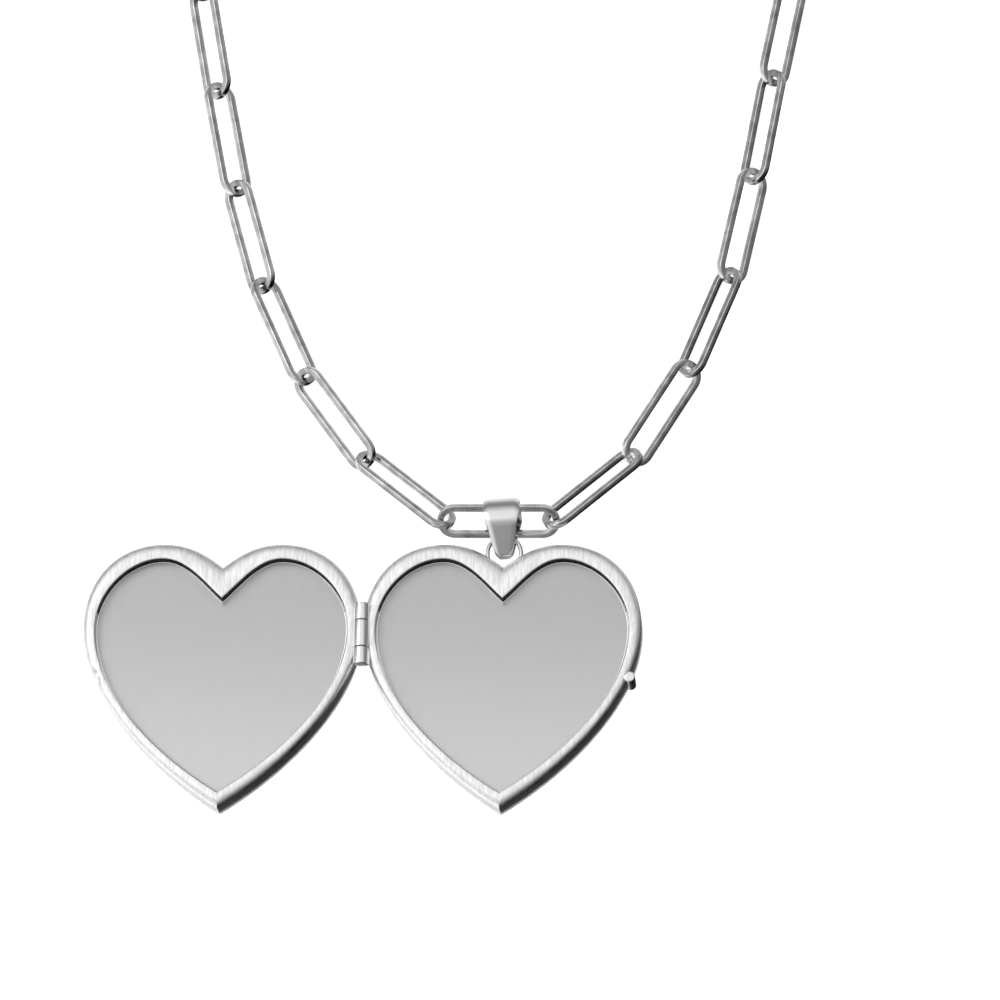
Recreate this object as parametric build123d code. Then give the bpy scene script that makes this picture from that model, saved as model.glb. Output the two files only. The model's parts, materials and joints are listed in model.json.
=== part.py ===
from build123d import *
import math
import os

# Heart locket on a link chain, lying open on its back, in millimetres.
# The origin is the middle of the back case's flat outer face.  +X runs along the two open
# halves, +Y from the heart's tip to its cleft, and +Z up out of the open halves.  The floor is Z = 0.

os.makedirs("parts", exist_ok=True)

# ---------------------------------------------------------------- case halves
CREST_Z = 3.5            # the plane in which the two halves meet when shut
MEET_GAP = 0.03          # each rim stops this far short of that plane
RIM_BAND = 1.15          # outline to inner edge of the rim
HALF_PITCH = 25.07       # between the middles of the two open halves
HINGE_X = -HALF_PITCH / 2

LAND_INSET = 3.4         # edge of the flat land on the outer face
LIP_Z = 0.45             # underside of the seam lip round the outer face
LIP_TOP_Z = 0.62
LIP_INSET = 0.02
WALL_INSET = 0.10
RIM_BASE_Z = 2.30        # the rim is soldered on the wall at this height
FLOOR_TOP_Z = 0.80       # inside floor of the pressed shell
LEDGE_Z = 2.00           # ledge that carries the photograph plate
LEDGE_INSET = 1.90
POCKET_INSET = 1.02
RIM_INNER = 1.12

PLATE_INSET = 1.10
PLATE_TOP_Z = 2.30
BEZEL_FOOT_TOP_Z = 2.45
BEZEL_TOP_Z = 2.84
BEZEL_OUTER = 1.14
BEZEL_LIP_OUTER = 1.22
BEZEL_INNER = 1.36

# ---------------------------------------------------------------- hinge
HINGE_Y = 3.83           # middle of the barrel
BARREL_R = 0.67
SEAT_R = 0.79            # scallop in the rims round the barrel
PIN_R = 0.28
RUNNING_GAP = 0.04
MID_KNUCKLE = 2.40
END_KNUCKLE = 1.55
KNUCKLE_GAP = 0.05
BARREL_HALF = MID_KNUCKLE / 2 + KNUCKLE_GAP + END_KNUCKLE
SCALLOP_HALF = BARREL_HALF + 0.14

# ---------------------------------------------------------------- catch peg
PEG_X = 11.41
PEG_Y = -0.10
PEG_R = 0.50
PEG_BASE_Z = 0.66
PEG_TOP_Z = 3.72
NOTCH_R = 0.58
NOTCH_Z = 3.18

# ---------------------------------------------------------------- bail and its ring
RING_Y = 11.65
RING_Z = 2.08
RING_R = 1.50
RING_WIRE = 0.19
BAIL_LEAN = 4.0          # degrees about Z
BAIL_NORTH_R = 1.72      # inside radius round the chain
BAIL_SOUTH_R = 0.28
BAIL_STRAP = 0.30
BAIL_NORTH = 1.52        # chain's centre beyond the ring's wire
BAIL_SOUTH = -1.45       # closed end's centre, short of the ring's wire
BAIL_WIDTHS = ((3.6, 3.20), (1.9, 3.34), (-0.3, 2.66), (-1.5, 1.90), (-2.3, 0.70))

# ---------------------------------------------------------------- chain
WIRE = 0.60              # square wire
LINK_WIDTH = 3.20
PITCH = 9.50
PLAY = 0.30              # gap between two linked ends
ROLL = 42.0              # links lie rolled to either side in turn
LIE_Z = 1.33             # middle of a link that lies on the floor
CHAIN_X = -0.57
LEFT_HEADINGS = (141, 126.5, 114.5, 106, 101.5, 100.5)
RIGHT_HEADINGS = (41, 58.5, 68, 78, 80, 79)
STRAIGHT = 4             # links that run on before the coil
COILED = 10              # links wound up at each end
COIL_R = 15.6
COIL_STEP = 4.6          # from one turn of a coil to the next
SPLIT = 7                # stored links in one node

# ---------------------------------------------------------------- clasp
JUMP_R = 1.90            # jump ring, to the wire's centre
JUMP_WIRE = 0.26
JUMP_Z = 2.18
JUMP_OUT = 1.14          # the ring's middle beyond the last joint of the chain
JUMP_TURN = 20.0         # the jump ring turns in from the last link, and the clasp from the ring
CLASP_TURN = 50.0
END_RING_R = 1.90
END_RING_WIRE = 0.34
END_RING_ROLL = 24.0
END_RING_TURN = 50.0
CLASP_Z = 1.00
CLASP_LENGTH = 9.8
CLASP_WIDTH = 4.8
CLASP_THICK = 1.9
CLASP_HOLE_LENGTH = 5.0
CLASP_HOLE_WIDTH = 2.3
CLASP_HOLE_AT = 1.3
EYE_R = 0.85
EYE_AT = -CLASP_LENGTH / 2 + 1.35
EYE_OUT = 1.46           # eye's middle beyond the jump ring's middle
TAIL_THICK = 0.8
TAIL_FROM = -CLASP_LENGTH / 2 + 2.4
LEVER_THICK = 0.9
LEVER_SLOT = 1.04
GATE_FROM = 0.2
GATE_TO = 3.0
PIVOT_AT = (-1.55, 1.35)
PIVOT_R = 0.26

# The outline of half a heart, as (outer, inner edge of the rim): the cleft, the top of the lobe,
# the side and the tip, the half angles at the cleft and the tip, and the curves' handle lengths.
CLEFT_Y = (10.12, 7.08)
CLEFT_DEG = (52, 48)
LOBE_X = (5.30, 5.35)
LOBE_Y = (12.25, 10.75)
SIDE_X = (12.40, 11.30)
SIDE_Y = (4.45, 4.40)
TIP_Y = (-12.02, -10.65)
TIP_DEG = (58, 58.5)
HANDLES = ((2.2, 2.1), (2.2, 2.2), (4.1, 3.0), (4.8, 3.3), (5.6, 5.7), (8.0, 7.3))


def heart_wire(inset, z=0.0, centre_x=0.0):
    """The heart's outline, inset mm inside the outer one, as one closed wire at height z."""
    share = min(inset, RIM_BAND) / RIM_BAND
    deeper = max(inset - RIM_BAND, 0.0)

    def value(pair):
        return pair[0] + (pair[1] - pair[0]) * share

    cleft_a = math.radians(value(CLEFT_DEG))
    tip_a = math.radians(value(TIP_DEG))
    cleft = (0.0, value(CLEFT_Y) - deeper / math.sin(cleft_a))
    lobe = (value(LOBE_X) - 0.1 * deeper, value(LOBE_Y) - deeper)
    side = (value(SIDE_X) - deeper, value(SIDE_Y))
    tip = (0.0, value(TIP_Y) + deeper / math.sin(tip_a))
    reach = [value(h) * (1 - 0.06 * deeper) for h in HANDLES]
    curves = (
        (cleft, (reach[0] * math.sin(cleft_a), cleft[1] + reach[0] * math.cos(cleft_a)),
         (lobe[0] - reach[1], lobe[1]), lobe),
        (lobe, (lobe[0] + reach[2], lobe[1]), (side[0], side[1] + reach[3]), side),
        (side, (side[0], side[1] - reach[4]),
         (reach[5] * math.sin(tip_a), tip[1] + reach[5] * math.cos(tip_a)), tip),
    )
    edges = []
    for curve in curves:
        edges.append(Bezier(*[(centre_x + x, y, z) for x, y in curve]))
    for curve in reversed(curves):
        edges.append(Bezier(*[(centre_x - x, y, z) for x, y in reversed(curve)]))
    return Wire(edges)


def heart_stack(levels, centre_x=0.0):
    """A solid through heart outlines, given as (inset, z) from the bottom up."""
    sections = [Face(heart_wire(inset, z, centre_x)) for inset, z in levels]
    return loft(sections, ruled=True)


def heart_prism(inset, low, high, centre_x=0.0):
    return extrude(Face(heart_wire(inset, low, centre_x)), amount=high - low, dir=(0, 0, 1))


def rod(radius, start, end):
    """A round rod between two points."""
    line = Vector(*end) - Vector(*start)
    plane = Plane(origin=start, z_dir=line)
    return Solid.make_cylinder(radius, line.length, plane)


def hinge_rod(radius, half_length, middle=HINGE_Y):
    return rod(radius, (HINGE_X, middle - half_length, CREST_Z), (HINGE_X, middle + half_length, CREST_Z))


def case_shell(centre_x):
    """Pressed dish: crowned outer face with a flat land, seam lip, wall, and a ledge inside."""
    crown = heart_stack(((LAND_INSET, 0.0), (1.9, 0.09), (0.9, 0.22), (LIP_INSET + 0.1, LIP_Z)), centre_x)
    lip = heart_prism(LIP_INSET, LIP_Z, LIP_TOP_Z, centre_x)
    wall = heart_prism(WALL_INSET, LIP_TOP_Z, RIM_BASE_Z, centre_x)
    hollow = heart_prism(LEDGE_INSET, FLOOR_TOP_Z, LEDGE_Z, centre_x)
    pocket = heart_prism(POCKET_INSET, LEDGE_Z, RIM_BASE_Z, centre_x)
    return crown + lip + wall - hollow - pocket


def rim_frame(centre_x):
    """Rounded frame whose crest lies near its inner edge and rolls down to the outline."""
    crest = CREST_Z - MEET_GAP
    outside = heart_stack(
        ((0.0, RIM_BASE_Z), (0.0, 2.60), (0.07, 2.90), (0.24, 3.18), (0.50, 3.38), (0.80, crest)), centre_x)
    opening = heart_prism(RIM_INNER, RIM_BASE_Z, 3.05, centre_x)
    mouth = heart_stack(((RIM_INNER, 3.05), (1.08, 3.28), (0.86, CREST_Z)), centre_x)
    return outside - opening - mouth


def photo_plate(centre_x):
    return heart_prism(PLATE_INSET, LEDGE_Z, PLATE_TOP_Z, centre_x)


def bezel(centre_x):
    """Snap-in frame: a flat foot on the plate and a fine raised lip round the picture."""
    foot = heart_prism(BEZEL_OUTER, PLATE_TOP_Z, BEZEL_FOOT_TOP_Z, centre_x)
    lip = heart_prism(BEZEL_LIP_OUTER, BEZEL_FOOT_TOP_Z, BEZEL_TOP_Z, centre_x)
    return foot + lip - heart_prism(BEZEL_INNER, PLATE_TOP_Z, BEZEL_TOP_Z, centre_x)


def knuckle(middle, length, bore):
    tube = hinge_rod(BARREL_R, length / 2, middle)
    tube = chamfer(tube.edges().filter_by(GeomType.CIRCLE), 0.06)
    return tube - hinge_rod(bore, length, middle)


def knuckle_seat(middle, length, side):
    """Solder seat that fills the scallop behind one knuckle, on the half at that side."""
    ring = hinge_rod(SEAT_R, length / 2 - 0.03, middle) - hinge_rod(BARREL_R, length, middle)
    block = Pos(HINGE_X + side * 0.90, middle, CREST_Z - 0.72) * Box(1.0, length, 1.2)
    return ring & block


def bail_profile(grow):
    """Teardrop in the YZ plane round the chain and the ring's wire, grown by grow mm."""
    north = Pos(BAIL_NORTH, 0) * Circle(BAIL_NORTH_R + grow)
    south = Pos(BAIL_SOUTH, 0) * Circle(BAIL_SOUTH_R + grow)
    return make_hull(north.edges() + south.edges())


def bail_solid():
    """Tapered strap bent into a loop, built about the ring's wire and leaned to one side."""
    band = bail_profile(BAIL_STRAP) - bail_profile(0.0)
    band = extrude(Plane.YZ * band, amount=3, both=True)
    right = [(width / 2, along) for along, width in BAIL_WIDTHS]
    left = [(-x, y) for x, y in reversed(right)]
    plan = extrude(make_face(Polyline(*right, *left, close=True)), amount=4, both=True)
    strap = band & plan
    lean = math.radians(BAIL_LEAN)
    place = (-RING_R * math.sin(lean), RING_Y + RING_R * math.cos(lean), RING_Z)
    return Pos(*place) * Rot(0, 0, BAIL_LEAN) * strap


def link(start, end, roll):
    """One long link of square wire, whose neighbours' ends meet its own at start and end."""
    start, end = Vector(*start), Vector(*end)
    axis = end - start
    inside = axis.length + PLAY
    hole_w = LINK_WIDTH - 2 * WIRE
    outline = SlotOverall(inside + 2 * WIRE, LINK_WIDTH) - SlotOverall(inside, hole_w)
    body = extrude(outline, amount=WIRE / 2, both=True)
    body = chamfer(body.edges(), 0.05)
    flat = Vector(-axis.Y, axis.X, 0).normalized()
    up = axis.normalized().cross(flat)
    a = math.radians(roll)
    plane = Plane(origin=(start + end) * 0.5, x_dir=axis, z_dir=up * math.cos(a) - flat * math.sin(a))
    return plane.location * body


def step(point, heading, z):
    """The next joint of the chain, one pitch along a compass heading, at height z."""
    run = math.sqrt(PITCH ** 2 - (z - point[2]) ** 2)
    a = math.radians(heading)
    return (point[0] + run * math.cos(a), point[1] + run * math.sin(a), z)


def run_of_links(start, headings, first_roll):
    """Links along the headings, each rolled the other way from the last; also the end joint."""
    links, point, roll = [], start, first_roll
    for heading in headings:
        nxt = step(point, heading, LIE_Z)
        links.append(link(point, nxt, roll))
        point, roll = nxt, -roll
    return links, point, roll


def coil_headings(heading, turn):
    """Headings of links that run on and then wind inwards, to the left for turn = 1."""
    headings, radius, turned = [heading] * STRAIGHT, COIL_R, 0.0
    for _ in range(COILED):
        bend = 2 * math.degrees(math.asin(PITCH / 2 / radius))
        heading += turn * bend
        turned += bend
        radius = COIL_R - COIL_STEP * turned / 360
        headings.append(heading)
    return headings


def beyond(point, heading, distance, z):
    """The place at height z that lies a distance along the heading from a point."""
    a = math.radians(heading)
    return (point[0] + distance * math.cos(a), point[1] + distance * math.sin(a), z)


def across(heading, roll):
    """Normal of a ring that lies along the heading, rolled out of the flat by roll degrees."""
    a, b = math.radians(heading), math.radians(roll)
    return (math.sin(a) * math.sin(b), -math.cos(a) * math.sin(b), math.cos(b))


def torus(centre, normal, radius, wire):
    return Solid.make_torus(radius, wire, Plane(origin=centre, z_dir=normal))


def clasp_capsule(length, width, thick, shift=0.0):
    return extrude(Pos(shift, 0) * SlotOverall(length, width), amount=thick / 2, both=True)


def clasp_parts():
    """Lobster clasp about its own middle, +X towards its nose: body, lever and pivot."""
    outer = fillet(clasp_capsule(CLASP_LENGTH, CLASP_WIDTH, CLASP_THICK).edges(), 0.45)
    hole = clasp_capsule(CLASP_HOLE_LENGTH, CLASP_HOLE_WIDTH, 4, CLASP_HOLE_AT)
    eye = extrude(Pos(EYE_AT, 0) * Circle(EYE_R), amount=2, both=True)
    end = Pos(TAIL_FROM - 5, 0, 0) * (Box(10, 10, 10) - Box(10, 10, TAIL_THICK))
    gate_at = ((GATE_FROM + GATE_TO) / 2, 2.0)
    gap = Pos(*gate_at, 0) * Box(GATE_TO - GATE_FROM, 2.6, 4)
    slot = Pos(-1.0, 1.62, 0) * Box(2.9, 1.75, LEVER_SLOT)
    pivot_bore = Pos(*PIVOT_AT, 0) * Cylinder(PIVOT_R, 4)
    body = outer - hole - eye - end - gap - slot - pivot_bore
    gate = (outer - hole) & (Pos(*gate_at, 0) * Box(GATE_TO - GATE_FROM - 0.16, 2.6, 4))
    gate = gate & Box(20, 20, LEVER_THICK + 0.5)
    arm = Pos(-0.62, 1.62, 0) * Box(2.1, 1.05, LEVER_THICK)
    boss = Pos(*PIVOT_AT, 0) * Cylinder(0.58, LEVER_THICK)
    thumb = Pos(-0.5, 2.42, 0) * Box(0.9, 0.75, LEVER_THICK)
    lever = gate + arm + boss + thumb - Pos(*PIVOT_AT, 0) * Cylinder(PIVOT_R + RUNNING_GAP, 4)
    pivot = Pos(*PIVOT_AT, 0) * Cylinder(PIVOT_R, CLASP_THICK)
    return body, lever, pivot


solids = {}
COVER_X = -HALF_PITCH

barrel_scallop = hinge_rod(SEAT_R, SCALLOP_HALF)
peg = rod(PEG_R, (PEG_X, PEG_Y, PEG_BASE_Z), (PEG_X, PEG_Y, PEG_TOP_Z))
cover_notch = rod(NOTCH_R, (COVER_X - PEG_X, PEG_Y, NOTCH_Z), (COVER_X - PEG_X, PEG_Y, CREST_Z + 1))

solids["case_shell"] = case_shell(0) - peg
solids["case_rim"] = rim_frame(0) - barrel_scallop - peg
solids["case_photo_plate"] = photo_plate(0)
solids["case_bezel"] = bezel(0)
solids["cover_shell"] = case_shell(COVER_X)
solids["cover_rim"] = rim_frame(COVER_X) - barrel_scallop - cover_notch
solids["cover_photo_plate"] = photo_plate(COVER_X)
solids["cover_bezel"] = bezel(COVER_X)

end_shift = MID_KNUCKLE / 2 + KNUCKLE_GAP + END_KNUCKLE / 2
for name, shift in (("upper", end_shift), ("lower", -end_shift)):
    solids[f"case_knuckle_{name}"] = knuckle(HINGE_Y + shift, END_KNUCKLE, PIN_R)
    solids[f"case_knuckle_seat_{name}"] = knuckle_seat(HINGE_Y + shift, END_KNUCKLE, 1)
solids["cover_knuckle"] = knuckle(HINGE_Y, MID_KNUCKLE, PIN_R + RUNNING_GAP)
solids["cover_knuckle_seat"] = knuckle_seat(HINGE_Y, MID_KNUCKLE, -1)
solids["hinge_pin"] = hinge_rod(PIN_R, BARREL_HALF)

solids["catch_peg"] = chamfer(peg.edges().filter_by(GeomType.CIRCLE), 0.10)

ring = torus((0, RING_Y, RING_Z), (0, 0, 1), RING_R, RING_WIRE)
solids["bail_ring"] = ring - heart_prism(WALL_INSET, LIP_TOP_Z, CREST_Z)
solids["bail"] = bail_solid()

chain_y = RING_Y + (RING_R + BAIL_NORTH) * math.cos(math.radians(BAIL_LEAN))
west = (CHAIN_X - PITCH / 2, chain_y, RING_Z)
east = (CHAIN_X + PITCH / 2, chain_y, RING_Z)
solids["chain_link_centre"] = link(west, east, ROLL)

ends = {}
for side, start, headings, turn in (
    ("left", west, LEFT_HEADINGS, 1),
    ("right", east, RIGHT_HEADINGS, -1),
):
    links, point, roll = run_of_links(start, headings, turn * ROLL)
    for number, piece in enumerate(links, 1):
        solids[f"chain_link_{side}_{number}"] = piece
    coil = coil_headings(headings[-1], turn)
    stored, point, roll = run_of_links(point, coil, roll)
    solids[f"chain_store_{side}_near"] = Compound(children=stored[:SPLIT])
    solids[f"chain_store_{side}_far"] = Compound(children=stored[SPLIT:])
    ends[side] = (point, roll, coil[-1])

point, roll, heading = ends["left"]
heading += JUMP_TURN
at = beyond(point, heading, JUMP_OUT, JUMP_Z)
solids["clasp_jump_ring"] = torus(at, across(heading, 90), JUMP_R, JUMP_WIRE)
eye_point = beyond(at, heading, EYE_OUT, CLASP_Z)
clasp_place = Pos(*eye_point) * Rot(0, 0, heading + CLASP_TURN) * Pos(-EYE_AT, 0, 0)
for name, piece in zip(("clasp_body", "clasp_lever", "clasp_pivot"), clasp_parts()):
    solids[name] = clasp_place * piece

point, roll, heading = ends["right"]
heading -= END_RING_TURN
at = beyond(point, heading, END_RING_R - END_RING_WIRE - PLAY / 2, LIE_Z)
normal = across(heading, math.copysign(END_RING_ROLL, roll))
solids["clasp_end_ring"] = torus(at, normal, END_RING_R, END_RING_WIRE)

if __name__ == "__main__":
    for name, solid in solids.items():
        export_step(solid, f"parts/{name}.step")
        print(name, round(solid.volume, 3))
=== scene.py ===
import json
import math

import bmesh
import bpy
from mathutils import Matrix, Vector


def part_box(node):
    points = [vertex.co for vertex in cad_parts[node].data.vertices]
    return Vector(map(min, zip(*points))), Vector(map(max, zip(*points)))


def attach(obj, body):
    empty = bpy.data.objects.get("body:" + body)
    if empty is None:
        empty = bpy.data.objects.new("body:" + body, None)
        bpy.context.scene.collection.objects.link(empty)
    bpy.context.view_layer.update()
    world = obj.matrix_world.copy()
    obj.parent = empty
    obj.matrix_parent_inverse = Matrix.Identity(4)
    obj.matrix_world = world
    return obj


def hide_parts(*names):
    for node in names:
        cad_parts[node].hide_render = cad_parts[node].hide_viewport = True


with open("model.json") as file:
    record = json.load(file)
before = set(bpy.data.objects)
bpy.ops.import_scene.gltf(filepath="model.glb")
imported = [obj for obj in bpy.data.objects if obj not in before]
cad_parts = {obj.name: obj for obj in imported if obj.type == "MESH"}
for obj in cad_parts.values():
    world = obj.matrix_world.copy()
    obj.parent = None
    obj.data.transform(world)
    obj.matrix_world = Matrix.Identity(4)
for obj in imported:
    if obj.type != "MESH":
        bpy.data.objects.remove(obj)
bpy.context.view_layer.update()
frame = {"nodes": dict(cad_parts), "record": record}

# Heart locket on a link chain, open on its back.  Shapes are in millimetres here and are scaled to
# metres when a mesh is made.
MM = 0.001

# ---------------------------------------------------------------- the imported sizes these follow
CREST_Z = 3.47
RIM_BASE_Z = 2.30
RIM_BAND = 1.15
SEAT_R = 0.79
RIM_INNER = 1.12
WALL_INSET = 0.10
LIP_INSET = 0.02
LIP_Z = 0.45
LIP_TOP_Z = 0.62
LAND_INSET = 3.4
FLOOR_TOP_Z = 0.80
LEDGE_Z = 2.00
LEDGE_INSET = 1.90
POCKET_INSET = 1.02
PLATE_INSET = 1.10
PLATE_TOP_Z = 2.30
RIM_ROLL_Z = 2.62
CREST_INSET = 0.84
ROLL_POWER = 0.80
INNER_CORNER = 0.10
BEZEL_OUTER = 1.14
BEZEL_LIP_OUTER = 1.22
BEZEL_INNER = 1.36
BEZEL_FOOT_Z = 2.45
BEZEL_LIP = (1.29, 2.77)
BEZEL_LIP_R = 0.07

# Half a heart's outline as (outer, inner edge of the rim), with the same meaning as in the CAD.
CLEFT_Y = (10.12, 7.08)
CLEFT_DEG = (52, 48)
LOBE_X = (5.30, 5.35)
LOBE_Y = (12.25, 10.75)
SIDE_X = (12.40, 11.30)
SIDE_Y = (4.45, 4.40)
TIP_Y = (-12.02, -10.65)
TIP_DEG = (58, 58.5)
HANDLES = ((2.2, 2.1), (2.2, 2.2), (4.1, 3.0), (4.8, 3.3), (5.6, 5.7), (8.0, 7.3))
PER_CURVE = 40
HEART_MIDDLE = (0.0, 0.5)

# Hinge, notch, bail and chain, as packed.  The strap is narrower near its ring, to clear it as it swings,
# and the notch's floor is 0.01 deeper and wider.
HINGE = (-12.535, 3.83, 3.5)
BARREL_R = 0.67
KNUCKLES = {
    "cover_knuckle": (0.0, 2.40),
    "case_knuckle_upper": (2.025, 1.55),
    "case_knuckle_lower": (-2.025, 1.55),
}
BARREL_CORNER = 0.07
PIN_R = 0.28
PIN_ROOM = 0.04
SCALLOP_ROOM = 0.14
PEG_FOOT = 0.10
PEG_ROUND = (0.16, 0.13)
PEG_DOME = 0.008
NOTCH_R = 0.58
NOTCH_PRESS_R = 0.59
NOTCH_Z = 3.171
NOTCH_END_Z = 5.0
BAIL_RING = (0.0, 11.65, 2.08)
BAIL_RING_R = 1.50
BAIL_RING_WIRE = 0.19
BAIL_LEAN = 4.0
BAIL_NORTH = (1.52, 1.72)
BAIL_SOUTH = (-1.45, 0.28)
BAIL_STRAP = 0.30
BAIL_WIDTHS = ((3.6, 3.20), (1.9, 3.34), (0.6, 2.60), (-0.5, 2.16), (-1.5, 1.70), (-2.3, 0.70))
WIRE = 0.60
WIRE_CORNER = 0.09
LINK_WIDTH = 3.20
PITCH = 9.50
PLAY = 0.30
ROLL = 42.0
LIE_Z = 1.33
CHAIN_X = -0.57
LEFT_HEADINGS = (141, 126.5, 114.5, 106, 101.5, 100.5)
RIGHT_HEADINGS = (41, 58.5, 68, 78, 80, 79)
STRAIGHT = 4
COILED = 10
COIL_R = 15.6
COIL_STEP = 4.6
SPLIT = 7
# Radius, wire, distance out, turn and height; then radius, wire, roll and turn.
JUMP_RING = (1.90, 0.26, 1.14, 20.0, 2.18)
END_RING = (1.90, 0.34, 24.0, 50.0)


# ================================================================ outlines and meshes
def bezier(points, steps):
    """Points along a cubic curve, without its last one."""
    out = []
    for i in range(steps):
        t = i / steps
        w = ((1 - t) ** 3, 3 * (1 - t) ** 2 * t, 3 * (1 - t) * t * t, t ** 3)
        out.append(tuple(sum(k * p[axis] for k, p in zip(w, points)) for axis in (0, 1)))
    return out


def heart(inset):
    """The heart's outline inset mm inside the outer one, from the cleft round to the right."""
    share = min(inset, RIM_BAND) / RIM_BAND
    deeper = max(inset - RIM_BAND, 0.0)

    def value(pair):
        return pair[0] + (pair[1] - pair[0]) * share

    cleft_a = math.radians(value(CLEFT_DEG))
    tip_a = math.radians(value(TIP_DEG))
    cleft = (0.0, value(CLEFT_Y) - deeper / math.sin(cleft_a))
    lobe = (value(LOBE_X) - 0.1 * deeper, value(LOBE_Y) - deeper)
    side = (value(SIDE_X) - deeper, value(SIDE_Y))
    tip = (0.0, value(TIP_Y) + deeper / math.sin(tip_a))
    reach = [value(h) * (1 - 0.06 * deeper) for h in HANDLES]
    curves = (
        (cleft, (reach[0] * math.sin(cleft_a), cleft[1] + reach[0] * math.cos(cleft_a)),
         (lobe[0] - reach[1], lobe[1]), lobe),
        (lobe, (lobe[0] + reach[2], lobe[1]), (side[0], side[1] + reach[3]), side),
        (side, (side[0], side[1] - reach[4]),
         (reach[5] * math.sin(tip_a), tip[1] + reach[5] * math.cos(tip_a)), tip),
    )
    right = [p for curve in curves for p in bezier(curve, PER_CURVE)]
    left = [(-x, y) for x, y in [tip] + right[:0:-1]]
    return right + left


def make_object(name, bm):
    mesh = bpy.data.meshes.new(name)
    bmesh.ops.recalc_face_normals(bm, faces=bm.faces)
    bm.to_mesh(mesh)
    bm.free()
    for polygon in mesh.polygons:
        polygon.use_smooth = True
    obj = bpy.data.objects.new(name, mesh)
    bpy.context.scene.collection.objects.link(obj)
    return obj


def add_ring(bm, outline, z, centre_x):
    return [bm.verts.new(((centre_x + x) * MM, y * MM, z * MM)) for x, y in outline]


def add_cap(bm, ring, outline, z, centre_x):
    """Closes a ring with shrinking copies of it and a fan in the middle."""
    for scale in (0.75, 0.5, 0.25):
        inner = [(HEART_MIDDLE[0] + scale * (x - HEART_MIDDLE[0]),
                  HEART_MIDDLE[1] + scale * (y - HEART_MIDDLE[1])) for x, y in outline]
        nxt = add_ring(bm, inner, z, centre_x)
        bridge(bm, ring, nxt)
        ring = nxt
    middle = bm.verts.new(((centre_x + HEART_MIDDLE[0]) * MM, HEART_MIDDLE[1] * MM, z * MM))
    for i, v in enumerate(ring):
        bm.faces.new((v, ring[(i + 1) % len(ring)], middle))


def bridge(bm, a, b):
    for i in range(len(a)):
        j = (i + 1) % len(a)
        bm.faces.new((a[i], a[j], b[j], b[i]))


def mark_sharp(obj, angle_deg):
    """Keeps an edge crisp where its faces meet at more than the angle."""
    bm = bmesh.new()
    bm.from_mesh(obj.data)
    limit = math.radians(angle_deg)
    for edge in bm.edges:
        if len(edge.link_faces) == 2 and edge.calc_face_angle(0.0) > limit:
            edge.smooth = False
    bm.to_mesh(obj.data)
    bm.free()


def heart_body(name, profile, centre_x, capped):
    """A solid through heart outlines at each (inset, z): capped at both ends, or a closed frame."""
    bm = bmesh.new()
    outlines = [heart(inset) for inset, _ in profile]
    rings = [add_ring(bm, o, z, centre_x) for o, (_, z) in zip(outlines, profile)]
    for a, b in zip(rings, rings[1:]):
        bridge(bm, a, b)
    if capped:
        add_cap(bm, rings[0], outlines[0], profile[0][1], centre_x)
        add_cap(bm, rings[-1], outlines[-1], profile[-1][1], centre_x)
    else:
        bridge(bm, rings[-1], rings[0])
    return make_object(name, bm)


def arc(centre, radii, start_deg, end_deg, steps):
    """Points of an ellipse's arc, as (inset, z)."""
    out = []
    for i in range(steps + 1):
        a = math.radians(start_deg + (end_deg - start_deg) * i / steps)
        out.append((centre[0] + radii[0] * math.cos(a), centre[1] + radii[1] * math.sin(a)))
    return out


def cylinder(radius, start, end):
    """A cylinder between two points in mm, to score a piece with."""
    start, end = Vector(start), Vector(end)
    bm = bmesh.new()
    bmesh.ops.create_cone(bm, cap_ends=True, segments=64, radius1=radius * MM, radius2=radius * MM,
                          depth=(end - start).length * MM)
    turn = (end - start).to_track_quat("Z", "Y").to_matrix().to_4x4()
    bm.transform(Matrix.Translation((start + end) * 0.5 * MM) @ turn)
    return make_object("cutter", bm)


def score(obj, cutter):
    """Applies the cutter to obj as an exact boolean difference, for good, and removes the cutter.
    """
    modifier = obj.modifiers.new("score", "BOOLEAN")
    modifier.operation = "DIFFERENCE"
    modifier.solver = "EXACT"
    modifier.object = cutter
    graph = bpy.context.evaluated_depsgraph_get()
    mesh = bpy.data.meshes.new_from_object(obj.evaluated_get(graph))
    obj.modifiers.clear()
    obj.data = mesh
    bpy.data.objects.remove(cutter)


def rounded_box(width, height, corner, steps=3):
    """Points round a rectangle with rounded corners, anticlockwise."""
    out = []
    for quarter, (sx, sy) in enumerate(((1, 1), (-1, 1), (-1, -1), (1, -1))):
        centre = (sx * (width / 2 - corner), sy * (height / 2 - corner))
        out += arc(centre, (corner, corner), quarter * 90, quarter * 90 + 90, steps)
    return out


def ring_points(radius, steps):
    return [(radius * math.cos(2 * math.pi * i / steps), radius * math.sin(2 * math.pi * i / steps))
            for i in range(steps)]


def sweep(bm, path, sections, place):
    """Sweeps sections round a closed path of (x, y, outward x, outward y) and places the result."""
    rings = []
    for (x, y, ox, oy), section in zip(path, sections):
        points = [Vector((x + u * ox, y + u * oy, v)) for u, v in section]
        rings.append([bm.verts.new(place @ p * MM) for p in points])
    for a, b in zip(rings, rings[1:] + rings[:1]):
        bridge(bm, a, b)


def lathe(name, profile, centre, steps=72):
    """Turns a closed profile of (radius, along) about a line through centre that runs along Y."""
    bm = bmesh.new()
    rings = []
    for i in range(steps):
        a = 2 * math.pi * i / steps
        rings.append([bm.verts.new(((centre[0] + r * math.cos(a)) * MM, (centre[1] + y) * MM,
                                    (centre[2] + r * math.sin(a)) * MM)) for r, y in profile])
    for a, b in zip(rings, rings[1:] + rings[:1]):
        bridge(bm, a, b)
    return make_object(name, bm)


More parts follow.
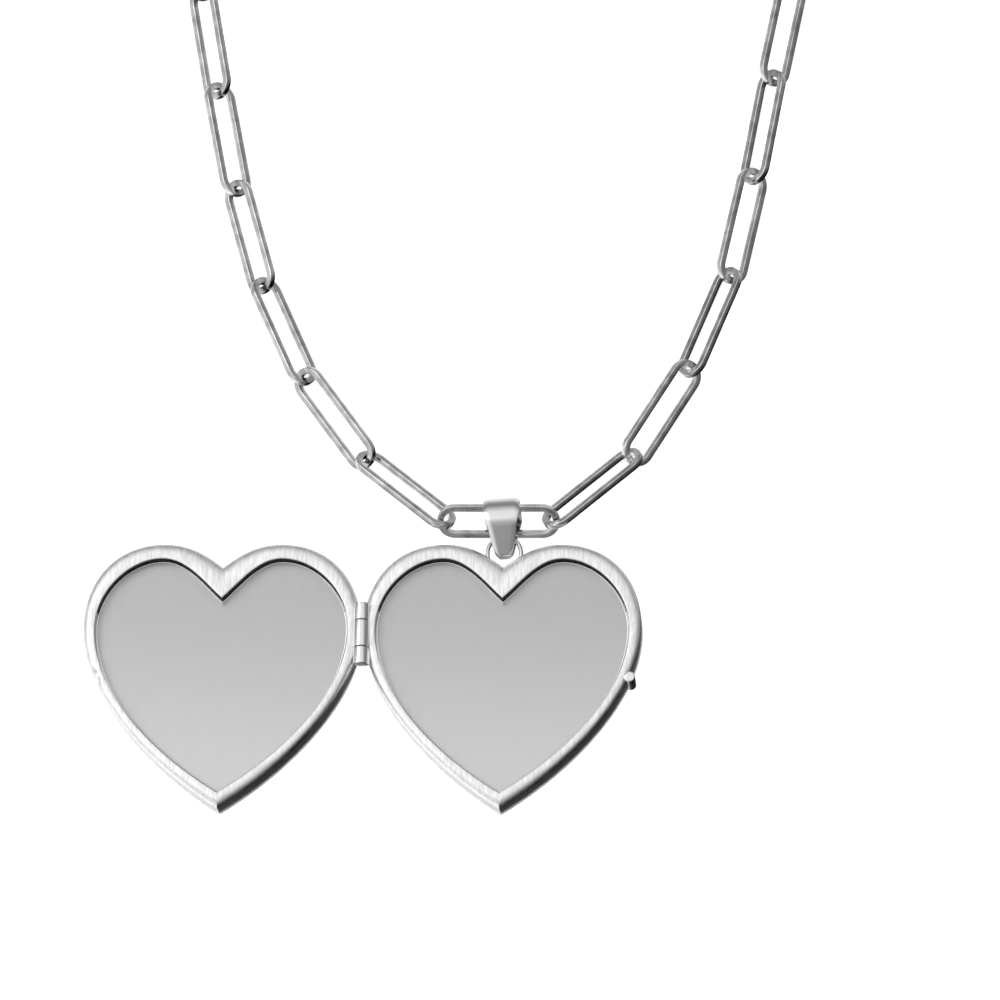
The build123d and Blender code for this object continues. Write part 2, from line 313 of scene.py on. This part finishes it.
def torus(name, place, radius, wire):
    bm = bmesh.new()
    path = [(radius * c, radius * s, c, s) for c, s in ring_points(1.0, 96)]
    sweep(bm, path, [ring_points(wire, 20)] * len(path), place)
    return make_object(name, bm)


def axes_matrix(origin, x_axis, y_axis, z_axis):
    turn = Matrix((x_axis, y_axis, z_axis)).transposed().to_4x4()
    return Matrix.Translation(Vector(origin)) @ turn


# ================================================================ materials
def new_material(name):
    material = bpy.data.materials.new(name)
    material.use_nodes = True
    tree = material.node_tree
    shader = tree.nodes["Principled BSDF"]
    shader.inputs["Metallic"].default_value = 1.0
    place = tree.nodes.new("ShaderNodeTexCoord")
    return material, tree, shader, place.outputs["Object"]


def noise(tree, vector, per_mm, detail, stretch=(1, 1, 1)):
    """Noise at about that many features to a millimetre, drawn out along an axis whose stretch is small."""
    mapping = tree.nodes.new("ShaderNodeMapping")
    mapping.inputs["Scale"].default_value = stretch
    tree.links.new(vector, mapping.inputs["Vector"])
    texture = tree.nodes.new("ShaderNodeTexNoise")
    texture.inputs["Scale"].default_value = per_mm / MM
    texture.inputs["Detail"].default_value = detail
    tree.links.new(mapping.outputs["Vector"], texture.inputs["Vector"])
    return texture.outputs["Fac"]


def spread(tree, factor, low, high):
    """Maps a 0 to 1 factor on to low to high."""
    ramp = tree.nodes.new("ShaderNodeMapRange")
    ramp.inputs["From Min"].default_value = 0.3
    ramp.inputs["From Max"].default_value = 0.7
    ramp.inputs["To Min"].default_value = low
    ramp.inputs["To Max"].default_value = high
    tree.links.new(factor, ramp.inputs["Value"])
    return ramp.outputs["Result"]


def bump(tree, shader, height, depth_mm, strength):
    node = tree.nodes.new("ShaderNodeBump")
    node.inputs["Strength"].default_value = strength
    node.inputs["Distance"].default_value = depth_mm * MM
    tree.links.new(height, node.inputs["Height"])
    tree.links.new(node.outputs["Normal"], shader.inputs["Normal"])


def tint(tree, shader, factor, dark, light):
    """Varies the metal's grey between two values."""
    ramp = tree.nodes.new("ShaderNodeValToRGB")
    ramp.color_ramp.elements[0].position = 0.3
    ramp.color_ramp.elements[0].color = (dark, dark, dark * 1.005, 1)
    ramp.color_ramp.elements[1].position = 0.7
    ramp.color_ramp.elements[1].color = (light, light, light * 1.005, 1)
    tree.links.new(factor, ramp.inputs["Fac"])
    tree.links.new(ramp.outputs["Color"], shader.inputs["Base Color"])


def satin_silver():
    """Matte finish from a satin wheel: fine streaks over broader soft strokes, both along Y."""
    material, tree, shader, at = new_material("satin_silver_finish")
    strokes = noise(tree, at, 2.2, 5.0, (1.0, 0.22, 1.0))
    streaks = noise(tree, at, 5.0, 4.0, (1.0, 0.18, 1.0))
    tree.links.new(spread(tree, strokes, 0.36, 0.48), shader.inputs["Roughness"])
    tint(tree, shader, streaks, 0.74, 0.99)
    bump(tree, shader, strokes, 0.03, 0.8)
    return material


def polished_silver():
    """Mirror polish with the faint hairlines and haze of handling."""
    material, tree, shader, at = new_material("polished_silver_finish")
    hairlines = noise(tree, at, 3.0, 6.0, (1.0, 0.08, 0.5))
    tree.links.new(spread(tree, hairlines, 0.07, 0.16), shader.inputs["Roughness"])
    tint(tree, shader, noise(tree, at, 0.35, 3.0), 0.76, 0.84)
    bump(tree, shader, noise(tree, at, 1.4, 2.0), 0.004, 0.25)
    return material


def plate_silver():
    """Rolled sheet behind the pictures: smooth and a little cloudy, with painted light and shade that make
    it darker toward the cleft and paler toward the tip.
    """
    material, tree, shader, at = new_material("plate_silver_finish")
    tree.links.new(spread(tree, noise(tree, at, 2.5, 3.0, (1.0, 0.2, 1.0)), 0.36, 0.42),
                   shader.inputs["Roughness"])
    # Painted light and shade: the grey rises along Y from the cleft end to the tip.
    along = tree.nodes.new("ShaderNodeSeparateXYZ")
    tree.links.new(at, along.inputs["Vector"])
    painted_light_along_y = tree.nodes.new("ShaderNodeMapRange")
    painted_light_along_y.interpolation_type = "SMOOTHSTEP"
    painted_light_along_y.inputs["From Min"].default_value = 9 * MM
    painted_light_along_y.inputs["From Max"].default_value = -11 * MM
    painted_light_along_y.inputs["To Min"].default_value = 0.3
    painted_light_along_y.inputs["To Max"].default_value = 0.7
    tree.links.new(along.outputs["Y"], painted_light_along_y.inputs["Value"])
    tint(tree, shader, painted_light_along_y.outputs["Result"], 0.49, 0.62)
    bump(tree, shader, noise(tree, at, 5.0, 2.0, (1.0, 0.3, 1.0)), 0.003, 0.2)
    return material


def chain_silver():
    """Tumbled square wire: patches of paler and darker grey, with soft dents."""
    material, tree, shader, at = new_material("chain_silver_finish")
    dents = noise(tree, at, 1.3, 3.0)
    tree.links.new(spread(tree, noise(tree, at, 4.0, 5.0), 0.13, 0.28), shader.inputs["Roughness"])
    tint(tree, shader, noise(tree, at, 0.8, 4.0), 0.42, 0.82)
    bump(tree, shader, dents, 0.03, 0.5)
    return material


def painted_shade_silver():
    """Near-black silver that paints shade on the walls of the narrow groove round the picture."""
    material, tree, shader, at = new_material("painted_shade_silver_finish")
    tree.links.new(spread(tree, noise(tree, at, 2.0, 4.0), 0.35, 0.55), shader.inputs["Roughness"])
    # Painted shade: a near-black grey for the groove walls.
    tint(tree, shader, noise(tree, at, 1.0, 4.0), 0.02, 0.10)
    bump(tree, shader, noise(tree, at, 6.0, 3.0), 0.01, 0.4)
    return material


FINISHES = {
    "satin_silver": satin_silver(),
    "polished_silver": polished_silver(),
    "plate_silver": plate_silver(),
    "chain_silver": chain_silver(),
    # painted shade for the groove walls round the picture
    "painted_shade_silver": painted_shade_silver(),
}


def finish_piece(obj, slot, body, *nodes):
    obj.data.materials.clear()
    obj.data.materials.append(FINISHES[slot])
    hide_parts(*nodes)
    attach(obj, body)


# ================================================================ the two halves
def box_mm(node):
    low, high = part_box(node)
    return Vector(low) / MM, Vector(high) / MM


def shell_profile():
    crown = []
    for i in range(15):
        share = i / 14
        crown.append((LAND_INSET + (LIP_INSET + 0.08 - LAND_INSET) * share, LIP_Z * share ** 2.2))
    lip = [(LIP_INSET + 0.02, LIP_Z), (LIP_INSET, LIP_Z + 0.03), (LIP_INSET, LIP_TOP_Z - 0.03),
           (LIP_INSET + 0.02, LIP_TOP_Z), (WALL_INSET, LIP_TOP_Z)]
    inside = [(WALL_INSET, RIM_BASE_Z), (POCKET_INSET, RIM_BASE_Z), (POCKET_INSET, LEDGE_Z),
              (LEDGE_INSET, LEDGE_Z), (LEDGE_INSET, FLOOR_TOP_Z)]
    return crown + lip + inside


def rim_profile():
    """A broad, nearly flat top that rolls over its outer side, with a crisp inner edge."""
    outside = []
    for i in range(21):
        a = math.radians(90 * i / 20)
        across, rise = math.cos(a) ** ROLL_POWER, math.sin(a) ** ROLL_POWER
        outside.append((CREST_INSET * (1 - across), RIM_ROLL_Z + (CREST_Z - RIM_ROLL_Z) * rise))
    inside = arc((RIM_INNER - INNER_CORNER, CREST_Z - INNER_CORNER), (INNER_CORNER, INNER_CORNER), 90, 0, 5)
    return [(0.0, RIM_BASE_Z)] + outside + inside + [(RIM_INNER, RIM_BASE_Z)]


def bezel_profile():
    foot = [(BEZEL_OUTER, PLATE_TOP_Z), (BEZEL_OUTER, BEZEL_FOOT_Z), (BEZEL_LIP_OUTER, BEZEL_FOOT_Z)]
    lip_top = arc(BEZEL_LIP, (BEZEL_LIP_R, BEZEL_LIP_R), 180, 0, 8)
    return foot + lip_top + [(BEZEL_INNER, PLATE_TOP_Z)]


def plate_profile():
    return [(PLATE_INSET, LEDGE_Z), (PLATE_INSET, PLATE_TOP_Z - 0.03), (PLATE_INSET + 0.03, PLATE_TOP_Z)]


def paint_groove_shade(obj, centre_x, low_z, high_z, low_inset, high_inset):
    """Paints shade: darkens the steep faces that are nearer the high_inset outline than low_inset, between
    two heights.
    """
    obj.data.materials.append(FINISHES["painted_shade_silver"])
    near, far = [Vector(p) for p in heart(low_inset)], [Vector(p) for p in heart(high_inset)]
    for polygon in obj.data.polygons:
        middle = polygon.center / MM
        if abs(polygon.normal.z) > 0.75 or not low_z < middle.z < high_z:
            continue
        flat = Vector((middle.x - centre_x, middle.y))
        closest = min(range(len(far)), key=lambda i: (far[i] - flat).length_squared)
        band = (far[closest] - near[closest]).length
        if (far[closest] - flat).length < 0.5 * band:
            polygon.material_index = 1


def build_half(body, centre_x, rim_round, shell_round=None):
    """One half: its shell, rim, bezel and plate.  A round is a cylinder's radius, start and end, or None."""
    shell = heart_body(f"{body}_shell_pressed", shell_profile(), centre_x, True)
    rim = heart_body(f"{body}_rim_rounded", rim_profile(), centre_x, False)
    low, high = box_mm("case_knuckle_lower"), box_mm("case_knuckle_upper")
    hinge_x = (low[0].x + low[1].x) / 2
    hinge_z = (low[0].z + low[1].z) / 2
    score(rim, cylinder(*rim_round))
    score(rim, cylinder(SEAT_R, (hinge_x, low[0].y - SCALLOP_ROOM, hinge_z),
                        (hinge_x, high[1].y + SCALLOP_ROOM, hinge_z)))
    if shell_round:
        score(shell, cylinder(*shell_round))
    bezel = heart_body(f"{body}_bezel_fine", bezel_profile(), centre_x, False)
    plate = heart_body(f"{body}_photo_plate_sheet", plate_profile(), centre_x, True)
    for piece, angle in ((shell, 30), (rim, 30), (bezel, 30), (plate, 8)):
        mark_sharp(piece, angle)
    finish_piece(shell, "satin_silver", body, f"{body}_shell")
    finish_piece(rim, "satin_silver", body, f"{body}_rim")
    # Painted shade on the rim's inner wall, down in the groove round the picture.
    paint_groove_shade(rim, centre_x, RIM_BASE_Z, CREST_Z - 0.06, 0.9, RIM_INNER)
    finish_piece(bezel, "polished_silver", body, f"{body}_bezel")
    finish_piece(plate, "plate_silver", body, f"{body}_photo_plate")


peg_low, peg_high = box_mm("catch_peg")
peg_x, peg_y = (peg_low.x + peg_high.x) / 2, (peg_low.y + peg_high.y) / 2
peg_r = (peg_high.x - peg_low.x) / 2
knuckle_low, knuckle_high = box_mm("cover_knuckle")
COVER_X = knuckle_low.x + knuckle_high.x
notch_x = COVER_X - peg_x
peg_round = (peg_r, (peg_x, peg_y, peg_low.z), (peg_x, peg_y, peg_high.z + 1))
notch_round = (NOTCH_R, (notch_x, peg_y, NOTCH_Z), (notch_x, peg_y, NOTCH_END_Z))


def press_notch(obj):
    """Presses the rim down to a flat floor inside the notch's round outline."""
    for vertex in obj.data.vertices:
        if math.hypot(vertex.co.x - notch_x * MM, vertex.co.y - peg_y * MM) < NOTCH_PRESS_R * MM:
            vertex.co.z = min(vertex.co.z, NOTCH_Z * MM)


build_half("case", 0.0, peg_round, peg_round)
build_half("cover", COVER_X, notch_round)
press_notch(bpy.data.objects["cover_rim_rounded"])


# ================================================================ hinge, peg and bail
def tube_profile(outer, inner, length, corner):
    half = length / 2
    top = arc((outer - corner, half - corner), (corner, corner), 0, 90, 4)
    bottom = arc((outer - corner, -half + corner), (corner, corner), -90, 0, 4)
    return bottom + top + [(inner, half), (inner, -half)]


for node, (shift, length) in KNUCKLES.items():
    bore = PIN_R + (PIN_ROOM if node == "cover_knuckle" else 0.0)
    knuckle = lathe(f"{node}_turned", tube_profile(BARREL_R, bore, length, BARREL_CORNER),
                    (HINGE[0], HINGE[1] + shift, HINGE[2]))
    mark_sharp(knuckle, 40)
    finish_piece(knuckle, "polished_silver", node.split("_")[0], node)


def make_peg():
    """Round catch peg with a rounded, slightly domed end."""
    bm = bmesh.new()
    wide, tall = PEG_ROUND
    profile = [(peg_r - PEG_FOOT, peg_low.z), (peg_r, peg_low.z + PEG_FOOT), (peg_r, peg_high.z - wide)]
    profile += arc((peg_r - wide, peg_high.z - wide), (wide, tall), 0, 90, 6)[1:]
    profile += [(peg_r * 0.35, peg_high.z - PEG_DOME)]
    rings = [[bm.verts.new(((peg_x + r * c) * MM, (peg_y + r * s) * MM, z * MM))
              for c, s in ring_points(1.0, 64)] for r, z in profile]
    for a, b in zip(rings, rings[1:]):
        bridge(bm, a, b)
    bm.faces.new(rings[0])
    bm.faces.new(rings[-1])
    peg = make_object("catch_peg_turned", bm)
    mark_sharp(peg, 35)
    finish_piece(peg, "polished_silver", "case", "catch_peg")


make_peg()


def bail_path():
    """The strap's middle line seen from the side, as (along, height, outward along, outward up)."""
    (north, north_r), (south, south_r) = BAIL_NORTH, BAIL_SOUTH
    north_r, south_r = north_r + BAIL_STRAP / 2, south_r + BAIL_STRAP / 2
    lean = math.asin((north_r - south_r) / (north - south))
    side = math.pi / 2 + lean
    path = []
    for i in range(49):
        a = -side + 2 * side * i / 48
        path.append((north + north_r * math.cos(a), north_r * math.sin(a), math.cos(a), math.sin(a)))
    upper_n, upper_s = path[-1], (south + south_r * math.cos(side), south_r * math.sin(side))
    for i in range(1, 24):
        t = i / 24
        path.append((upper_n[0] + (upper_s[0] - upper_n[0]) * t,
                     upper_n[1] + (upper_s[1] - upper_n[1]) * t, math.cos(side), math.sin(side)))
    for i in range(17):
        a = side + (2 * math.pi - 2 * side) * i / 16
        path.append((south + south_r * math.cos(a), south_r * math.sin(a), math.cos(a), math.sin(a)))
    low_s, low_n = path[-1], path[0]
    for i in range(1, 24):
        t = i / 24
        path.append((low_s[0] + (low_n[0] - low_s[0]) * t, low_s[1] + (low_n[1] - low_s[1]) * t,
                     math.cos(side), -math.sin(side)))
    return path


def strap_width(along):
    """The strap's width at a place along the bail, read between the stops."""
    stops = sorted(BAIL_WIDTHS)
    if along <= stops[0][0]:
        return stops[0][1]
    for (a, wide_a), (b, wide_b) in zip(stops, stops[1:]):
        if along <= b:
            t = (along - a) / (b - a)
            return wide_a + (wide_b - wide_a) * t
    return stops[-1][1]


def strap_section(width):
    """(outward, across) round the strap: flat inside, and bevelled sides down from a flat face."""
    half, thick = width / 2, BAIL_STRAP / 2
    flat = half - min(0.52, half * 0.45)
    face = [(thick, -flat), (thick - 0.01, -flat - 0.08), (thick - 0.09, -half + 0.10),
            (thick - 0.14, -half + 0.02), (thick - 0.20, -half)]
    inner = [(-thick + 0.03, -half), (-thick, -half + 0.03)]
    left = face + inner
    right = [(u, -v) for u, v in reversed(left)]
    return [(thick, 0.0)] + left + [(-thick, 0.0)] + right


def make_bail():
    lean = math.radians(BAIL_LEAN)
    along = Vector((-math.sin(lean), math.cos(lean), 0))
    across = Vector((math.cos(lean), math.sin(lean), 0))
    origin = Vector(BAIL_RING) + BAIL_RING_R * along
    path = bail_path()
    bm = bmesh.new()
    place = axes_matrix(origin, along, Vector((0, 0, 1)), across)
    sweep(bm, path, [strap_section(strap_width(p[0])) for p in path], place)
    bail = make_object("bail_strap_bent", bm)
    mark_sharp(bail, 32)
    finish_piece(bail, "polished_silver", "bail", "bail")


make_bail()

# ================================================================ chain
def link_path():
    """The middle line of a link's wire, as (x, y, outward x, outward y), along X."""
    half = (PITCH + PLAY + WIRE) / 2
    radius = (LINK_WIDTH - WIRE) / 2
    path = []
    for sign in (1, -1):
        for i in range(25):
            a = math.pi * i / 24 - math.pi / 2
            c, s = sign * math.cos(a), sign * math.sin(a)
            path.append((sign * (half - radius) + radius * c, radius * s, c, s))
    return path


LINK_PATH = link_path()
LINK_SECTION = rounded_box(WIRE, WIRE, WIRE_CORNER)


def add_link(bm, start, end, roll):
    start, end = Vector(start), Vector(end)
    axis = end - start
    stretch = axis.length - PITCH
    flat = Vector((-axis.y, axis.x, 0)).normalized()
    axis.normalize()
    up = axis.cross(flat)
    a = math.radians(roll)
    normal = up * math.cos(a) - flat * math.sin(a)
    place = axes_matrix((start + end) / 2, axis, normal.cross(axis), normal)
    path = [(x + math.copysign(stretch / 2, x), y, ox, oy) for x, y, ox, oy in LINK_PATH]
    sweep(bm, path, [LINK_SECTION] * len(path), place)


def place_links(name, body, links, *nodes):
    bm = bmesh.new()
    for start, end, roll in links:
        add_link(bm, start, end, roll)
    obj = make_object(name, bm)
    mark_sharp(obj, 50)
    finish_piece(obj, "chain_silver", body, *nodes)


def coil_headings(heading, turn):
    headings, radius, turned = [heading] * STRAIGHT, COIL_R, 0.0
    for _ in range(COILED):
        bend = 2 * math.degrees(math.asin(PITCH / 2 / radius))
        heading += turn * bend
        turned += bend
        radius = COIL_R - COIL_STEP * turned / 360
        headings.append(heading)
    return headings


def route(start, headings, roll):
    links, point = [], start
    for heading in headings:
        run = math.sqrt(PITCH ** 2 - (LIE_Z - point[2]) ** 2)
        a = math.radians(heading)
        nxt = (point[0] + run * math.cos(a), point[1] + run * math.sin(a), LIE_Z)
        links.append((point, nxt, roll))
        point, roll = nxt, -roll
    return links


chain_y = BAIL_RING[1] + (BAIL_RING_R + BAIL_NORTH[0]) * math.cos(math.radians(BAIL_LEAN))
west = (CHAIN_X - PITCH / 2, chain_y, BAIL_RING[2])
east = (CHAIN_X + PITCH / 2, chain_y, BAIL_RING[2])
place_links("link_centre_wire", "link_centre", [(west, east, ROLL)], "chain_link_centre")
chain_ends = {}
for side, start, headings, turn in (("left", west, LEFT_HEADINGS, 1), ("right", east, RIGHT_HEADINGS, -1)):
    coil = coil_headings(headings[-1], turn)
    links = route(start, list(headings) + coil, turn * ROLL)
    for number in range(1, 7):
        place_links(f"link_{side}_{number}_wire", f"link_{side}_{number}", [links[number - 1]],
                    f"chain_link_{side}_{number}")
    place_links(f"store_{side}_near_wire", f"store_{side}", links[6:6 + SPLIT], f"chain_store_{side}_near")
    place_links(f"store_{side}_far_wire", f"store_{side}", links[6 + SPLIT:], f"chain_store_{side}_far")
    chain_ends[side] = (links[-1][1], coil[-1], -links[-1][2])


def ring_at(name, side, body, node, radius, wire, out, turn, z, roll):
    """A round ring along a heading from the chain's end, rolled out of the flat."""
    (x, y, _), heading, _ = chain_ends[side]
    a, b = math.radians(heading + turn), math.radians(roll)
    along = Vector((math.cos(a), math.sin(a), 0))
    normal = Vector((math.sin(a) * math.sin(b), -math.cos(a) * math.sin(b), math.cos(b)))
    place = axes_matrix((x + out * along.x, y + out * along.y, z), along, normal.cross(along), normal)
    ring = torus(name, place, radius, wire)
    finish_piece(ring, "polished_silver", body, node)


jump_r, jump_wire, jump_out, jump_turn, jump_z = JUMP_RING
ring_at("clasp_jump_ring_wire", "left", "store_left", "clasp_jump_ring",
        jump_r, jump_wire, jump_out, jump_turn, jump_z, 90)
end_r, end_wire, end_roll, end_turn = END_RING
ring_at("clasp_end_ring_wire", "right", "store_right", "clasp_end_ring", end_r, end_wire,
        end_r - end_wire - PLAY / 2, -end_turn, LIE_Z, math.copysign(end_roll, chain_ends["right"][2]))

bail_ring = torus("bail_ring_wire", Matrix.Translation(Vector(BAIL_RING)), BAIL_RING_R, BAIL_RING_WIRE)
finish_piece(bail_ring, "chain_silver", "case", "bail_ring")

# ================================================================ CAD nodes that stay
slots = {part["node"]: part["material_slot"] for part in frame["record"]["subparts"]}
for node, obj in frame["nodes"].items():
    for index in range(len(obj.material_slots)):
        obj.material_slots[index].material = FINISHES[slots[node]]

# ================================================================ floor, light, camera
def make_floor():
    """A pale floor that gives off light and isn't seen in the silver."""
    bm = bmesh.new()
    bmesh.ops.create_grid(bm, x_segments=1, y_segments=1, size=1.5)
    floor = make_object("floor", bm)
    material = bpy.data.materials.new("floor_white")
    material.use_nodes = True
    shader = material.node_tree.nodes["Principled BSDF"]
    shader.inputs["Base Color"].default_value = (0.9, 0.9, 0.9, 1)
    shader.inputs["Roughness"].default_value = 0.8
    shader.inputs["Emission Color"].default_value = (1, 1, 1, 1)
    shader.inputs["Emission Strength"].default_value = 0.75
    floor.data.materials.append(material)
    floor.visible_glossy = False


def grey_ramp(tree, value, stops):
    ramp = tree.nodes.new("ShaderNodeValToRGB")
    elements = ramp.color_ramp.elements
    for element, (position, grey) in zip(elements, (stops[0], stops[-1])):
        element.position = position
        element.color = (grey, grey, grey, 1)
    for position, grey in stops[1:-1]:
        elements.new(position).color = (grey, grey, grey, 1)
    tree.links.new(value, ramp.inputs["Fac"])
    return ramp.outputs["Color"]


def toward(tree, vector, direction):
    """How far a direction of the room lies toward the given one, from 0 (opposite) to 1."""
    facing = tree.nodes.new("ShaderNodeVectorMath")
    facing.operation = "DOT_PRODUCT"
    facing.inputs[1].default_value = Vector(direction).normalized()
    tree.links.new(vector, facing.inputs[0])
    share = tree.nodes.new("ShaderNodeMapRange")
    share.inputs["From Min"].default_value = -1.0
    tree.links.new(facing.outputs["Value"], share.inputs["Value"])
    return share.outputs["Result"]


def make_world():
    """White above and below, dim between, a dark card low right, a grey one in front, a left fill."""
    world = bpy.data.worlds.new("studio")
    bpy.context.scene.world = world
    world.use_nodes = True
    tree = world.node_tree
    background = tree.nodes["Background"]
    place = tree.nodes.new("ShaderNodeTexCoord").outputs["Generated"]
    height = grey_ramp(tree, toward(tree, place, (-0.10, 0.0, 1.0)),
                       ((0.0, 0.90), (0.28, 0.88), (0.40, 0.52), (0.52, 0.30), (0.66, 0.26), (0.78, 0.52),
                        (0.92, 0.90), (1.0, 0.96)))
    right_card = grey_ramp(tree, toward(tree, place, (0.64, -0.42, -0.64)),
                           ((0.64, 1.0), (0.78, 0.60), (0.87, 0.06), (0.95, 0.0)))
    front_card = grey_ramp(tree, toward(tree, place, (0.05, -0.72, 0.70)),
                           ((0.86, 1.0), (0.95, 0.55), (1.0, 0.45)))
    cards = tree.nodes.new("ShaderNodeVectorMath")
    cards.operation = "MULTIPLY"
    tree.links.new(right_card, cards.inputs[0])
    tree.links.new(front_card, cards.inputs[1])
    left_fill = grey_ramp(tree, toward(tree, place, (-0.80, -0.45, -0.10)),
                          ((0.72, 0.0), (0.90, 0.45), (1.0, 0.55)))
    room = tree.nodes.new("ShaderNodeVectorMath")
    room.operation = "MULTIPLY_ADD"
    tree.links.new(left_fill, room.inputs[2])
    tree.links.new(cards.outputs["Vector"], room.inputs[0])
    tree.links.new(height, room.inputs[1])
    tree.links.new(room.outputs["Vector"], background.inputs["Color"])
    background.inputs["Strength"].default_value = 1.05


def area_light(name, place, target, size, power):
    light = bpy.data.lights.new(name, "AREA")
    light.size = size
    light.energy = power
    obj = bpy.data.objects.new(name, light)
    obj.location = place
    obj.rotation_euler = (Vector(target) - Vector(place)).to_track_quat("-Z", "Y").to_euler()
    bpy.context.scene.collection.objects.link(obj)


def make_camera():
    """Looks almost straight down, a little from the tip and from the case's side."""
    back = Vector((0.065, -0.27, 0.0))
    back.z = math.sqrt(1 - back.x ** 2 - back.y ** 2)
    right = (Vector((1, 0, 0)) - back.x * back).normalized()
    up = back.cross(right)
    distance, seen = 0.9, 0.0891
    middle = right * -0.00031 + up * 0.01654
    data = bpy.data.cameras.new("camera")
    data.sensor_width = 36.0
    data.lens = data.sensor_width * distance / seen
    data.clip_start, data.clip_end = 0.01, 20.0
    camera = bpy.data.objects.new("camera", data)
    turn = Matrix((right, up, back)).transposed().to_4x4()
    camera.matrix_world = Matrix.Translation(middle + back * distance) @ turn
    bpy.context.scene.collection.objects.link(camera)
    bpy.context.scene.camera = camera


make_floor()
make_world()
area_light("key", (-0.40, 0.10, 0.50), (-0.01, 0.0, 0.0), 0.40, 0.6)
make_camera()
bpy.context.scene.view_settings.view_transform = "Standard"
